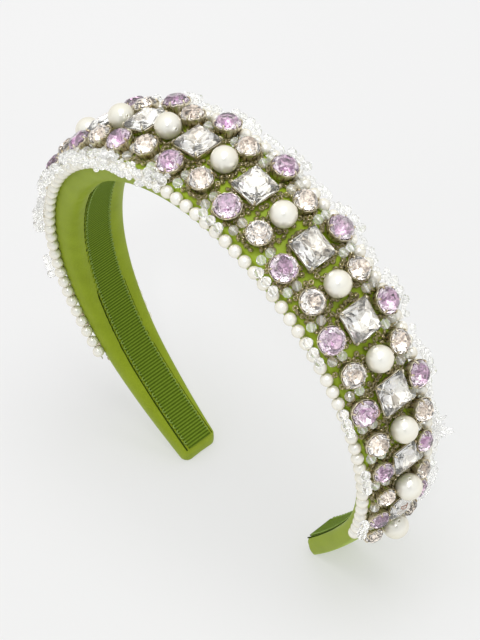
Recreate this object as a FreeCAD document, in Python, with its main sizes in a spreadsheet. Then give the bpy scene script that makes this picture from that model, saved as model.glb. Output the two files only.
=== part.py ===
"""Beaded satin headband.

A sprung plastic strip bent to the shape of a head carries a foam pad and a satin sleeve, with a grosgrain
ribbon on the inside. Crystals in claw settings, pearls and glass beads are sewn in rows over the outside.

Frame: millimetres, +Z up, X from ear to ear, Y from the back edge (-) to the front edge (+). The origin is
on the floor midway between the two tips, where the headband stands.

Distance s runs along the outer satin surface from the crown, positive towards the right arm (+X), and
height is measured outwards from that surface. The band flexes, so every layer is divided at two hinge
lines into a left arm, a crown and a right arm.
"""
import FreeCAD
import Part
import Sketcher
import math
import os

V = FreeCAD.Vector

SIZES = {
    # Centre line of the outer satin surface: three tangent arcs on each side of the crown.
    "crown_radius": 72.8, "crown_angle": 105.0,
    "side_radius": 87.0, "side_angle": 22.0,
    "tip_radius": 164.0, "tip_angle": 11.7,
    # Where the arms hinge, and how much of each tip is pressed flat on the floor.
    "hinge_angle": 41.6, "hinge_gap": 0.06, "rest_depth": 1.0,
    # Band section.
    "crown_half_width": 13.8, "tip_half_width": 6.6,
    "band_thickness": 8.4, "crown_drop": 2.2, "corner_round": 1.6, "edge_inset_share": 0.5,
    # The inner face is the outer line moved in by the thickness and then down by this much, which makes
    # the padding thicker over the crown.
    "inner_fall": 3.0,
    # Layers.
    "cover_thickness": 0.4, "layer_gap": 0.05,
    "core_thickness": 1.4, "core_crown_width": 20.0, "core_tip_width": 7.6, "core_shoulder": 105.0,
    "core_outline_height": 160.0, "core_outline_depth": 220.0,
    "ribbon_thickness": 0.6, "ribbon_width": 9.8, "ribbon_flap": 4.2,
    # How far short of each tip the layers inside the sleeve stop, and how far they stay off the floor.
    "core_short": 1.4, "foam_short": 1.4, "foam_floor": 1.0, "cover_end": 0.6,
    # Rows of stones: a square row and a pearl row alternate.
    "row_pitch": 23.5, "seat_gap": 0.1,
    # The last rows of each arm use a smaller size of every stone and setting.
    "small_from": 110.0, "small_scale": 0.82,
    # Square crystal and its setting.
    "square_side": 10.2, "square_table": 6.1, "square_foot": 6.4, "square_corner": 0.9,
    "square_seat": 0.8, "square_girdle_bottom": 2.7, "square_girdle_top": 3.0, "square_top": 4.7,
    "square_cup_foot": 7.8, "square_cup_top": 10.6, "square_cup_wall": 0.5, "square_cup_height": 2.1,
    "square_cup_floor": 0.5, "square_claw_foot": 1.6, "square_window_foot": 0.8, "square_window_tall": 0.9,
    "square_claw_radius": 0.5, "square_claw_place": 5.1, "square_claw_top": 3.8, "square_window": 5.0,
    "square_front_shift": 0.6,
    # Lilac round crystal and its setting.
    "lilac_radius": 4.0, "lilac_table": 2.3, "lilac_foot": 1.4, "lilac_place": 9.3,
    # Clear round crystal and its setting.
    "clear_radius": 3.6, "clear_table": 2.1, "clear_foot": 1.3, "clear_place": 8.3,
    # Lilac crystals stand further out along the front edge, and rise where they overhang the edge pearls.
    "lilac_front_place": 11.2, "lilac_front_room": 2.4, "overhang_room": 3.0, "overhang_rise": 1.05,
    # Heights shared by both round stones.
    "round_seat": 1.0, "round_girdle_bottom": 3.4, "round_girdle_top": 3.7, "round_top": 5.4,
    "cup_wall": 0.35, "cup_height": 3.2, "cup_foot_radius": 2.5, "cup_floor": 0.7, "cup_play": 0.12,
    "claw_width": 0.7, "claw_depth": 0.4, "claw_top": 4.1, "claw_root": 0.5, "cup_floor_play": 0.5,
    # Pearls and beads.
    "large_pearl_radius": 4.0, "large_pearl_bore": 0.5, "large_pearl_lift": 0.3,
    "edge_pearl_radius": 1.95, "edge_pearl_bore": 0.35, "edge_pearl_pitch": 4.25, "edge_pearl_out": 2.0,
    "edge_pearl_drop": 0.3, "thread_radius": 0.2,
    "glass_bead_radius": 1.5, "glass_bead_bore": 0.4, "glass_bead_edge": 1.4, "glass_bead_step": 3.15,
    "inner_bead_reach": 130.0,
    # Glass beads looped over the edge pearls, outside the lilac crystals.
    "loop_bead_out": 2.15, "loop_bead_height": 3.35, "loop_bead_clear": 6.95,
    "seed_ring_radius": 0.6, "seed_section_radius": 0.35, "seed_circle": 5.4, "seed_step_angle": 22.0,
}

doc = FreeCAD.newDocument("headband")
sheet = doc.addObject("Spreadsheet::Sheet", "sizes")
for line, (alias, number) in enumerate(SIZES.items(), start=1):
    sheet.set(f"A{line}", str(number))
    sheet.setAlias(f"A{line}", alias)
doc.recompute()


def size(alias):
    return float(getattr(sheet, alias))


# ---------------------------------------------------------------- centre line and section

SEGMENTS = ("left_arm", "crown", "right_arm")
ARC_RADII = [size("crown_radius"), size("side_radius"), size("tip_radius")]
ARC_ANGLES = [math.radians(size(a)) for a in ("crown_angle", "side_angle", "tip_angle")]
HALF_LENGTH = sum(r * a for r, a in zip(ARC_RADII, ARC_ANGLES))
HINGE_AT = size("crown_radius") * math.radians(size("hinge_angle"))
ROW_PITCH = size("row_pitch")
LAST_SQUARE_ROW, LAST_PEARL_ROW = 6, 6.5
FIRST_LOOP_ROW, LAST_LOOP_ROW, LOOP_BEADS = -5, 6, 3
SEED_BEADS = 5
CLAWS = 6


def arc_centres():
    """Centres of the three right-hand arcs as (x, z), with the crown of the first arc at z = 0."""
    x, z = 0.0, -ARC_RADII[0]
    centres = [(x, z)]
    turned = 0.0
    for i in (1, 2):
        turned += ARC_ANGLES[i - 1]
        step = ARC_RADII[i - 1] - ARC_RADII[i]
        x, z = x + step * math.sin(turned), z + step * math.cos(turned)
        centres.append((x, z))
    return centres


ARC_CENTRES = arc_centres()
TIP_TURN = sum(ARC_ANGLES)
TIP_HEIGHT = ARC_CENTRES[2][1] + ARC_RADII[2] * math.cos(TIP_TURN)
LIFT = -TIP_HEIGHT - size("rest_depth")


def arc_at(s):
    """Which arc holds distance s, and how far the band has turned from the crown by there."""
    left, turned, i = abs(s), 0.0, 0
    while i < 2 and left > ARC_RADII[i] * ARC_ANGLES[i]:
        left -= ARC_RADII[i] * ARC_ANGLES[i]
        turned += ARC_ANGLES[i]
        i += 1
    return i, turned + left / ARC_RADII[i]


def frame_at(s):
    """Point on the centre line, unit tangent and unit outward normal at distance s."""
    side = 1.0 if s >= 0 else -1.0
    i, turn = arc_at(s)
    normal = V(side * math.sin(turn), 0, math.cos(turn))
    tangent = V(math.cos(turn), 0, -side * math.sin(turn))
    centre = V(side * ARC_CENTRES[i][0], 0, ARC_CENTRES[i][1] + LIFT)
    return centre + normal * ARC_RADII[i], tangent, normal


def half_width(s):
    """Half width of the satin at its widest, narrowing from the crown to the tips."""
    share = min(1.0, abs(s) / HALF_LENGTH)
    return size("tip_half_width") + (size("crown_half_width") - size("tip_half_width")) * (1 - share ** 2)


def edge_drop(s):
    return size("crown_drop") * half_width(s) / size("crown_half_width")


def thickness(s):
    """Thickness of the band at its middle, where the inner line is the outer one moved in and lowered."""
    i, turn = arc_at(s)
    fall, inner_radius = size("inner_fall"), ARC_RADII[i] - size("band_thickness")
    reach = math.sqrt(inner_radius ** 2 - (fall * math.sin(turn)) ** 2)
    return ARC_RADII[i] + fall * math.cos(turn) - reach


def surface(s, y):
    """Height of the crowned satin at y, and the angle by which it leans outwards there."""
    radius = (half_width(s) ** 2 + edge_drop(s) ** 2) / (2 * edge_drop(s))
    return math.sqrt(radius ** 2 - y ** 2) - radius, math.asin(y / radius)


def place(s, y, height):
    point, _, normal = frame_at(s)
    return point + normal * height + V(0, y, 0)


def section(s, inset, raised):
    """Closed outline of the band at s, moved in by inset, with its inner face raised by a height."""
    floor = raised - thickness(s)
    wide = half_width(s) - inset
    shoulder = -edge_drop(s) - inset * size("edge_inset_share")
    rounding = size("corner_round")
    cut = rounding * (1 - math.sqrt(0.5))

    flat = wide - rounding

    def line(start, end):
        return Part.makeLine(place(s, *start), place(s, *end))

    def arc(start, middle, end):
        return Part.Arc(place(s, *start), place(s, *middle), place(s, *end)).toShape()

    return Part.Wire([
        line((-flat, floor), (flat, floor)),
        arc((flat, floor), (wide - cut, floor + cut), (wide, floor + rounding)),
        line((wide, floor + rounding), (wide, shoulder)),
        arc((wide, shoulder), (0, -inset), (-wide, shoulder)),
        line((-wide, shoulder), (-wide, floor + rounding)),
        arc((-wide, floor + rounding), (cut - wide, floor + cut), (-flat, floor)),
    ])


def segment_span(segment, tip_inset=0.0):
    """First and last distance of a segment of the band."""
    gap = size("hinge_gap") / 2
    end = HALF_LENGTH - tip_inset
    return {
        "left_arm": (-end, -HINGE_AT - gap),
        "crown": (-HINGE_AT + gap, HINGE_AT - gap),
        "right_arm": (HINGE_AT + gap, end),
    }[segment]


def segment_of(s):
    if abs(s) <= HINGE_AT:
        return "crown"
    return "right_arm" if s > 0 else "left_arm"


def band_solid(segment, inset, raised, tip_inset=0.0, floor_level=0.0):
    """Loft of the band's section along a segment, cut level near the floor."""
    section_spacing = 9.0
    first, last = segment_span(segment, tip_inset)
    steps = math.ceil((last - first) / section_spacing)
    outlines = [section(first + (last - first) * i / steps, inset, raised) for i in range(steps + 1)]
    solid = Part.makeLoft(outlines, True, False)
    if segment == "crown":
        return solid
    reach = 2 * HALF_LENGTH
    below = Part.makeBox(reach, reach, reach, V(-reach / 2, -reach / 2, floor_level - reach))
    return solid.cut(below)


# ---------------------------------------------------------------- document helpers

subparts = []


def subpart(thing, label):
    thing.Label = label
    subparts.append(thing)


def solid_feature(label, shape):
    """A sub-part whose shape follows the band, so that it is built from Part's own functions."""
    thing = doc.addObject("Part::Feature", label)
    thing.Shape = shape
    thing.Placement = FreeCAD.Placement()
    subpart(thing, label)


def bind(thing, **expressions):
    for name, expression in expressions.items():
        thing.setExpression(name.replace("__", "."), expression)


def primitive(kind, name, **expressions):
    thing = doc.addObject("Part::" + kind, name)
    bind(thing, **expressions)
    return thing


def boolean(kind, name, first, second):
    thing = doc.addObject("Part::" + kind, name)
    thing.Base, thing.Tool = first, second
    return thing


def fuse(name, things):
    thing = doc.addObject("Part::MultiFuse", name)
    thing.Shapes = things
    return thing


def new_sketch(body, name, role, lift=None):
    """A sketch on one of the body's own origin planes, lifted along the plane's normal if asked."""
    sketch = body.newObject("Sketcher::SketchObject", name)
    plane = [p for p in body.Origin.OriginFeatures if p.Role == role][0]
    sketch.AttachmentSupport = [(plane, "")]
    sketch.MapMode = "FlatFace"
    if lift:
        sketch.setExpression("AttachmentOffset.Base.z", lift)
    return sketch


def bound_polygon(sketch, corners):
    """Closed outline whose corners are pairs of expressions, each one a constraint on the sheet."""
    numbers = [[float(sheet.evalExpression(e)) for e in corner] for corner in corners]
    count = len(corners)
    for i in range(count):
        x, y = numbers[i]
        next_x, next_y = numbers[(i + 1) % count]
        sketch.addGeometry(Part.LineSegment(V(x, y, 0), V(next_x, next_y, 0)), False)
    for i in range(count):
        sketch.addConstraint(Sketcher.Constraint("Coincident", i, 2, (i + 1) % count, 1))
    for i, (across, up) in enumerate(corners):
        for kind, axis, expression, number in (
            ("DistanceX", -2, across, numbers[i][0]), ("DistanceY", -1, up, numbers[i][1]),
        ):
            if expression == "0":
                sketch.addConstraint(Sketcher.Constraint("PointOnObject", i, 1, axis))
                continue
            index = sketch.addConstraint(Sketcher.Constraint(kind, -1, 1, i, 1, number))
            sketch.setExpression(f"Constraints[{index}]", expression)


def turn_about_upright(body, sketch, name):
    turn = body.newObject("PartDesign::Revolution", name + "_turn")
    turn.Profile = sketch
    turn.ReferenceAxis = (sketch, ["V_Axis"])
    turn.Angle = 360


def revolved_body(name, corners):
    """A body turned about its own Z axis from an outline on its XZ plane."""
    body = doc.addObject("PartDesign::Body", name)
    sketch = new_sketch(body, name + "_outline", "XZ_Plane")
    bound_polygon(sketch, corners)
    turn_about_upright(body, sketch, name)
    return body


# ---------------------------------------------------------------- one of each stone, setting and bead

def round_crystal(name, kind):
    """Round cut stone: flat foot, sloping pavilion, thin girdle, crown and flat table."""
    radius, table, foot = (f"sizes.{kind}_{part}" for part in ("radius", "table", "foot"))
    return revolved_body(name, [
        ("0", "sizes.round_seat"), (foot, "sizes.round_seat"), (radius, "sizes.round_girdle_bottom"),
        (radius, "sizes.round_girdle_top"), (table, "sizes.round_top"), ("0", "sizes.round_top"),
    ])


def round_setting(name, kind):
    """Cone-shaped cup that the stone's pavilion sits in, with six claws up past the girdle."""
    rim = f"(sizes.{kind}_radius + sizes.cup_play)"
    body = revolved_body(name, [
        ("0", "0"), ("sizes.cup_foot_radius", "0"),
        (f"{rim} + sizes.cup_wall", "sizes.cup_height"), (rim, "sizes.cup_height"),
        (f"sizes.{kind}_foot + sizes.cup_floor_play", "sizes.cup_floor"), ("0", "sizes.cup_floor"),
    ])
    sketch = new_sketch(body, name + "_claw_outline", "XY_Plane", "sizes.cup_height - sizes.claw_root")
    outer = f"{rim} + sizes.claw_depth"
    side = "sizes.claw_width / 2"
    bound_polygon(sketch, [(rim, f"-{side}"), (outer, f"-{side}"), (outer, side), (rim, side)])
    claw = body.newObject("PartDesign::Pad", name + "_claw")
    claw.Profile = sketch
    claw.setExpression("Length", "sizes.claw_top - sizes.cup_height + sizes.claw_root")
    pattern = body.newObject("PartDesign::PolarPattern", name + "_claws")
    pattern.Originals = [claw]
    pattern.Axis = ([a for a in body.Origin.OriginFeatures if a.Role == "Z_Axis"][0], [""])
    pattern.Angle, pattern.Occurrences = 360, CLAWS
    body.Tip = pattern
    return body


def frustum(name, foot, foot_height, top, top_height):
    """Square frustum, as a wedge whose Y axis is turned upright by the caller's placement."""
    wedge = primitive("Wedge", name)
    bind(wedge, Xmin=f"-{foot} / 2", Xmax=f"{foot} / 2", Zmin=f"-{foot} / 2", Zmax=f"{foot} / 2",
         X2min=f"-{top} / 2", X2max=f"{top} / 2", Z2min=f"-{top} / 2", Z2max=f"{top} / 2",
         Ymin=foot_height, Ymax=top_height)
    wedge.Placement = FreeCAD.Placement(V(0, 0, 0), FreeCAD.Rotation(V(1, 0, 0), 90))
    return wedge


def square_crystal():
    """Square cut stone with clipped corners: pavilion, girdle and crown, cut by a turned box."""
    side, top = "sizes.square_side", "sizes.square_table"
    low, high = "sizes.square_girdle_bottom", "sizes.square_girdle_top"
    whole = fuse("square_crystal_whole", [
        frustum("square_crystal_pavilion", "sizes.square_foot", "sizes.square_seat", side, low),
        frustum("square_crystal_girdle", side, low, side, high),
        frustum("square_crystal_crown", side, high, top, "sizes.square_top"),
    ])
    across = "(sizes.square_side * 2 - sizes.square_corner * 2) / sqrt(2)"
    clip = primitive("Box", "square_crystal_clip", Length=across, Width=across, Height="sizes.square_top * 2")
    reach = size("square_side") - size("square_corner")
    clip.Placement = FreeCAD.Placement(V(0, -reach, 0), FreeCAD.Rotation(V(0, 0, 1), 45))
    return boolean("Common", "square_crystal", whole, clip)


def square_setting():
    """Open square cup with a window in each wall and a round claw at each corner."""
    wall, foot, top = "sizes.square_cup_wall * 2", "sizes.square_cup_foot", "sizes.square_cup_top"
    outside = frustum("square_cup_outside", foot, "0", top, "sizes.square_cup_height")
    inside = frustum("square_cup_inside", f"({foot} - {wall})", "sizes.square_cup_floor",
                     f"({top} - {wall})", "sizes.square_cup_height")
    cup = boolean("Cut", "square_cup", outside, inside)
    window = "sizes.square_window"
    for turn in (0, 90):
        name = f"square_cup_window_{turn}"
        box = primitive("Box", name, Length=window, Width=f"{top} * 2",
                        Height="sizes.square_window_tall")
        spin = FreeCAD.Rotation(V(0, 0, 1), turn)
        corner = V(-size("square_window") / 2, -size("square_cup_top"), size("square_window_foot"))
        box.Placement = FreeCAD.Placement(spin.multVec(corner), spin)
        cup = boolean("Cut", f"square_cup_open_{turn}", cup, box)
    claws = []
    for i, (x, y) in enumerate([(1, 1), (-1, 1), (-1, -1), (1, -1)]):
        at = V(x, y, 0) * size("square_claw_place")
        claw = primitive("Cylinder", f"square_claw_{i}", Radius="sizes.square_claw_radius",
                         Height="sizes.square_claw_top - sizes.square_claw_foot")
        claw.Placement = FreeCAD.Placement(at + V(0, 0, size("square_claw_foot")), FreeCAD.Rotation())
        tip = primitive("Sphere", f"square_claw_tip_{i}", Radius="sizes.square_claw_radius")
        tip.Placement = FreeCAD.Placement(at + V(0, 0, size("square_claw_top")), FreeCAD.Rotation())
        claws += [claw, tip]
    return fuse("square_setting", [cup] + claws)


def drilled_ball(name):
    """A ball centred on the origin with a hole through it along X: a turned arc closed by the bore."""
    radius, bore = size(name + "_radius"), size(name + "_bore")
    half = math.sqrt(radius ** 2 - bore ** 2)
    opening = math.asin(half / radius)
    body = doc.addObject("PartDesign::Body", name)
    sketch = new_sketch(body, name + "_outline", "XZ_Plane")
    circle = Part.Circle(V(0, 0, 0), V(0, 0, 1), radius)
    sketch.addGeometry(Part.ArcOfCircle(circle, -opening, opening), False)
    sketch.addGeometry(Part.LineSegment(V(bore, half, 0), V(bore, -half, 0)), False)
    sketch.addConstraint(Sketcher.Constraint("Coincident", 0, 3, -1, 1))
    sketch.addConstraint(Sketcher.Constraint("Coincident", 0, 2, 1, 1))
    sketch.addConstraint(Sketcher.Constraint("Coincident", 0, 1, 1, 2))
    sketch.addConstraint(Sketcher.Constraint("Vertical", 1))
    outside = sketch.addConstraint(Sketcher.Constraint("Radius", 0, radius))
    sketch.setExpression(f"Constraints[{outside}]", f"sizes.{name}_radius")
    inside = sketch.addConstraint(Sketcher.Constraint("DistanceX", -1, 1, 1, 1, bore))
    sketch.setExpression(f"Constraints[{inside}]", f"sizes.{name}_bore")
    turn_about_upright(body, sketch, name)
    body.Placement = FreeCAD.Placement(V(0, 0, 0), FreeCAD.Rotation(V(0, 0, 1), V(1, 0, 0)))
    return body


masters = {
    "lilac_crystal": round_crystal("lilac_crystal", "lilac"),
    "clear_crystal": round_crystal("clear_crystal", "clear"),
    "lilac_setting": round_setting("lilac_setting", "lilac"),
    "clear_setting": round_setting("clear_setting", "clear"),
    "square_crystal": square_crystal(),
    "square_setting": square_setting(),
    "large_pearl": drilled_ball("large_pearl"),
    "edge_pearl": drilled_ball("edge_pearl"),
    "glass_bead": drilled_ball("glass_bead"),
    "seed_bead": primitive("Torus", "seed_bead", Radius1="sizes.seed_ring_radius",
                           Radius2="sizes.seed_section_radius"),
}
doc.recompute()


# ---------------------------------------------------------------- where the stones and beads sit

def seat(s, y, lift=0.0, lean=None):
    """Placement on the satin at (s, y): local Z along the surface normal, local X along the band."""
    point, tangent, normal = frame_at(s)
    height, tilt = surface(s, y)
    tilt = tilt if lean is None else lean
    up = normal * math.cos(tilt) + V(0, math.sin(tilt), 0)
    base = point + normal * height + V(0, y, 0) + up * lift
    return FreeCAD.Placement(base, FreeCAD.Rotation(tangent, up.cross(tangent), up, "ZXY"))


def stone_scale(s):
    return size("small_scale") if abs(s) > size("small_from") else 1.0


def square_seats():
    shift = size("square_front_shift")
    return [(s, seat(s, shift if stone_scale(s) == 1 else 0, size("seat_gap"))) for s in square_rows()]


def side_place(s, kind, side):
    """How far from the middle a side stone sits."""
    usual = size(kind + "_place") * stone_scale(s)
    if kind == "clear" or side < 0 or stone_scale(s) < 1:
        return usual
    return max(usual, min(size("lilac_front_place"), half_width(s) - size("lilac_front_room")))


def square_rows():
    return [row * ROW_PITCH for row in range(-LAST_SQUARE_ROW, LAST_SQUARE_ROW + 1)]


def pearl_rows():
    count = int(2 * LAST_PEARL_ROW) + 1
    return [(i - LAST_PEARL_ROW) * ROW_PITCH for i in range(count)]


def side_seats(rows, kind):
    seats = []
    for s in rows:
        for side in (-1, 1):
            y = side_place(s, kind, side)
            overhang = max(0.0, y + size("overhang_room") * stone_scale(s) - half_width(s))
            lift = size("seat_gap") + size("overhang_rise") * overhang
            seats.append((s, seat(s, side * y, lift)))
    return seats


def edge_line(s, side):
    """Centre of the string of edge pearls at distance s."""
    return place(s, side * (half_width(s) + size("edge_pearl_out")), -edge_drop(s) - size("edge_pearl_drop"))


def edge_heading(s, side):
    return edge_line(s + 1, side) - edge_line(s - 1, side)


def edge_pearl_distances():
    pitch = size("edge_pearl_pitch")
    count = int((LAST_PEARL_ROW * ROW_PITCH + size("large_pearl_radius")) / pitch)
    return [i * pitch for i in range(-count, count + 1)]


def edge_pearl_seats():
    seats = []
    for side in (-1, 1):
        for s in edge_pearl_distances():
            turn = FreeCAD.Rotation(V(1, 0, 0), edge_heading(s, side))
            seats.append((s, FreeCAD.Placement(edge_line(s, side), turn)))
    return seats


def gap_bead_seats():
    """Glass beads near both edges in every gap between rows: two abreast, but one near the tips."""
    seats = []
    gaps = int(4 * LAST_PEARL_ROW)
    for i in range(gaps):
        s = (i + 0.5 - gaps / 2) * ROW_PITCH / 2
        steps = (0, 1) if abs(s) < size("inner_bead_reach") else (0,)
        for side in (-1, 1):
            for step in steps:
                y = half_width(s) - size("glass_bead_edge") - step * size("glass_bead_step")
                seats.append((s, seat(s, side * y, size("glass_bead_radius") + size("seat_gap"))))
    return seats


def loop_bead_seats():
    """Glass beads looped over the edge pearls outside each lilac crystal."""
    seats = []
    for row in range(FIRST_LOOP_ROW, LAST_LOOP_ROW + 1):
        for side in (-1, 1):
            beyond_stone = side_place(row * ROW_PITCH, "lilac", side) + size("loop_bead_clear")
            for i in range(LOOP_BEADS):
                s = row * ROW_PITCH + (i - (LOOP_BEADS - 1) / 2) * size("glass_bead_step")
                y = max(half_width(s) + size("loop_bead_out"), beyond_stone)
                at = seat(s, 0)
                at.Base = place(s, side * y, size("loop_bead_height") - edge_drop(s))
                seats.append((row * ROW_PITCH, at))
    return seats


def seed_bead_seats():
    """An arc of beads on each side of every large pearl, lying in the gap to the square crystals."""
    seats = []
    for row in pearl_rows():
        for side in (-1, 1):
            for i in range(SEED_BEADS):
                angle = math.radians((i - (SEED_BEADS - 1) / 2) * size("seed_step_angle"))
                s = row + side * size("seed_circle") * math.cos(angle)
                y = size("seed_circle") * math.sin(angle)
                seats.append((row, seat(s, y, size("seed_section_radius") + size("seat_gap"))))
    return seats


def spread(master, seats, name, scale=None):
    """One node in each segment, holding the copies of a master that sit there."""
    for segment in SEGMENTS:
        copies = []
        for s, placement in seats:
            if segment_of(s) == segment:
                copy = masters[master].Shape.copy()
                if scale:
                    copy.scale(scale(s))
                copy.Placement = placement.multiply(copy.Placement)
                copies += copy.Solids
        if copies:
            solid_feature(f"{name}_{segment}", Part.makeCompound(copies))


# ---------------------------------------------------------------- layers of the band

def arc_strip(name, arc, start, turn, outer_inset, thickness, width):
    """Curved strip along one arc: a sector of a tube about an axis along Y, start and turn in degrees."""
    radius = ("sizes.crown_radius", "sizes.side_radius", "sizes.tip_radius")[arc]
    side = -1 if start + turn / 2 < 0 else 1
    centre = V(side * ARC_CENTRES[arc][0], 0, ARC_CENTRES[arc][1] + LIFT - size("inner_fall"))
    angle = math.radians(start)
    radial = V(math.sin(angle), 0, math.cos(angle))
    spin = FreeCAD.Rotation(radial, V(0, 1, 0).cross(radial), V(0, 1, 0), "ZXY")
    base = centre - V(0, float(sheet.evalExpression(width)) / 2, 0)
    pieces = []
    for part, inset in (("outside", outer_inset), ("inside", f"{outer_inset} - {thickness}")):
        tube = primitive("Cylinder", f"{name}_{part}", Radius=f"{radius} + ({inset})", Height=width)
        tube.Angle = turn
        tube.Placement = FreeCAD.Placement(base, spin)
        pieces.append(tube)
    return boolean("Cut", name, *pieces)


def strip_along(name, segment, outer_inset, thickness, width, past_tip=0.0):
    """The arc strips of one segment joined end to end. They follow the lowered inner face, so both ends
    are turned back by the fall to stay level with the satin's own ends."""
    fall, inner_radius = size("inner_fall"), ARC_RADII[0] - size("band_thickness")
    hinge = size("hinge_angle")
    hinge -= math.degrees(fall * math.sin(math.radians(hinge)) / inner_radius)
    past_tip -= fall * math.sin(TIP_TURN)
    gap = math.degrees(size("hinge_gap") / 2 / ARC_RADII[0])
    if segment == "crown":
        return arc_strip(name, 0, gap - hinge, 2 * (hinge - gap), outer_inset, thickness, width)
    side = 1 if segment == "right_arm" else -1
    angles = [size("crown_angle") - hinge - gap, size("side_angle"),
              size("tip_angle") + math.degrees(past_tip / ARC_RADII[2])]
    start = hinge + gap
    strips = []
    for arc, turn in enumerate(angles):
        first = start if side > 0 else -(start + turn)
        strips.append(arc_strip(f"{name}_{arc}", arc, first, turn, outer_inset, thickness, width))
        start += turn
    return fuse(name, strips)


def core_outline():
    """Upright outline of the core seen from the side: full width over the crown, narrow at the tips."""
    body = doc.addObject("PartDesign::Body", "core_outline")
    sketch = new_sketch(body, "core_outline_sketch", "YZ_Plane")
    wide, narrow = "sizes.core_crown_width / 2", "sizes.core_tip_width / 2"
    top, shoulder = "sizes.core_outline_height", "sizes.core_shoulder"
    bound_polygon(sketch, [(narrow, "0"), (wide, shoulder), (wide, top),
                           (f"-{wide}", top), (f"-{wide}", shoulder), (f"-{narrow}", "0")])
    pad = body.newObject("PartDesign::Pad", "core_outline_pad")
    pad.Profile = sketch
    pad.setExpression("Length", "sizes.core_outline_depth")
    pad.Midplane = True
    return body


def spring_core():
    """Sprung plastic strip inside the sleeve, along the inner face."""
    outline = core_outline()
    inset = "sizes.cover_thickness + sizes.layer_gap + sizes.core_thickness - sizes.band_thickness"
    for segment in SEGMENTS:
        strip = strip_along(f"core_strip_{segment}", segment, inset, "sizes.core_thickness",
                            "sizes.core_crown_width", past_tip=-size("core_short"))
        subpart(boolean("Common", f"core_cut_{segment}", strip, outline), f"spring_core_{segment}")


def foam_pad():
    """Crowned foam on top of the core, filling the sleeve."""
    gap, cover = size("layer_gap"), size("cover_thickness")
    raised = cover + 2 * gap + size("core_thickness")
    for segment in SEGMENTS:
        shape = band_solid(segment, cover + gap, raised, size("foam_short"), size("foam_floor"))
        solid_feature(f"foam_pad_{segment}", shape)


def satin_cover():
    """Satin sleeve, closed at the tips."""
    cover = size("cover_thickness")
    for segment in SEGMENTS:
        outside = band_solid(segment, 0, 0)
        inside = band_solid(segment, cover, cover, size("cover_end"), size("cover_end"))
        solid_feature(f"satin_cover_{segment}", outside.cut(inside))


def ribbon_lining():
    """Grosgrain ribbon under the inner face, turned over each tip's end."""
    gap = "sizes.layer_gap"
    past = size("layer_gap") + size("ribbon_thickness")
    for segment in SEGMENTS:
        strip = strip_along(f"ribbon_strip_{segment}", segment, f"-sizes.band_thickness - {gap}",
                            "sizes.ribbon_thickness", "sizes.ribbon_width", past_tip=past)
        if segment == "crown":
            subpart(strip, f"ribbon_lining_{segment}")
            continue
        side = 1 if segment == "right_arm" else -1
        flap = primitive("Box", f"ribbon_flap_{segment}", Length="sizes.ribbon_thickness",
                         Width="sizes.ribbon_width", Height="sizes.ribbon_flap")
        point, tangent, normal = frame_at(side * HALF_LENGTH)
        along = tangent * side
        under = point - normal * (thickness(HALF_LENGTH) + size("layer_gap") + size("ribbon_thickness") / 2)
        spin = FreeCAD.Rotation(along, normal.cross(along), normal, "ZXY")
        across = normal.cross(along) * (-size("ribbon_width") / 2)
        flap.Placement = FreeCAD.Placement(under + along * size("layer_gap") + across, spin)
        subpart(fuse(f"ribbon_{segment}", [strip, flap]), f"ribbon_lining_{segment}")


def edge_threads():
    """Thread through each string of edge pearls, straight from the middle of one pearl to the next."""
    for segment in SEGMENTS:
        threads = []
        distances = [s for s in edge_pearl_distances() if segment_of(s) == segment]
        for side in (-1, 1):
            rings = []
            for s in distances:
                circle = Part.Circle(edge_line(s, side), edge_heading(s, side), size("thread_radius"))
                rings.append(Part.Wire([circle.toShape()]))
            threads.append(Part.makeLoft(rings, True, True))
        solid_feature(f"edge_thread_{segment}", Part.makeCompound(threads))


spring_core()
foam_pad()
satin_cover()
ribbon_lining()
spread("square_crystal", square_seats(), "square_crystals", stone_scale)
spread("square_setting", square_seats(), "square_settings", stone_scale)
spread("lilac_crystal", side_seats(square_rows(), "lilac"), "lilac_crystals", stone_scale)
spread("lilac_setting", side_seats(square_rows(), "lilac"), "lilac_settings", stone_scale)
spread("clear_crystal", side_seats(pearl_rows(), "clear"), "clear_crystals", stone_scale)
spread("clear_setting", side_seats(pearl_rows(), "clear"), "clear_settings", stone_scale)
pearl_lift = size("large_pearl_radius") + size("large_pearl_lift")
spread("large_pearl", [(s, seat(s, 0, pearl_lift)) for s in pearl_rows()], "large_pearls")
spread("edge_pearl", edge_pearl_seats(), "edge_pearls")
edge_threads()
spread("glass_bead", gap_bead_seats() + loop_bead_seats(), "glass_beads")
spread("seed_bead", seed_bead_seats(), "seed_beads")

# ---------------------------------------------------------------- check and write

doc.recompute()
for thing in doc.Objects:
    if any(word in ("Invalid", "Error") for word in thing.State):
        raise RuntimeError(f"{thing.Label} failed: {thing.State}")
for thing in subparts:
    shape = thing.Shape
    if shape.isNull() or not shape.isValid() or shape.Volume <= 0:
        raise RuntimeError(f"{thing.Label} has no valid shape")

os.makedirs("parts", exist_ok=True)
for thing in subparts:
    thing.Shape.exportStep(f"parts/{thing.Label}.step")
    print(thing.Label, len(thing.Shape.Solids), round(thing.Shape.Volume, 1))
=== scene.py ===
"""Looks of the beaded satin headband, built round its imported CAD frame. Lengths are millimetres until a
mesh is made, where MM turns them into metres."""
import math

import bmesh
import bpy
import numpy as np
from mathutils import Matrix, Vector

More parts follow.
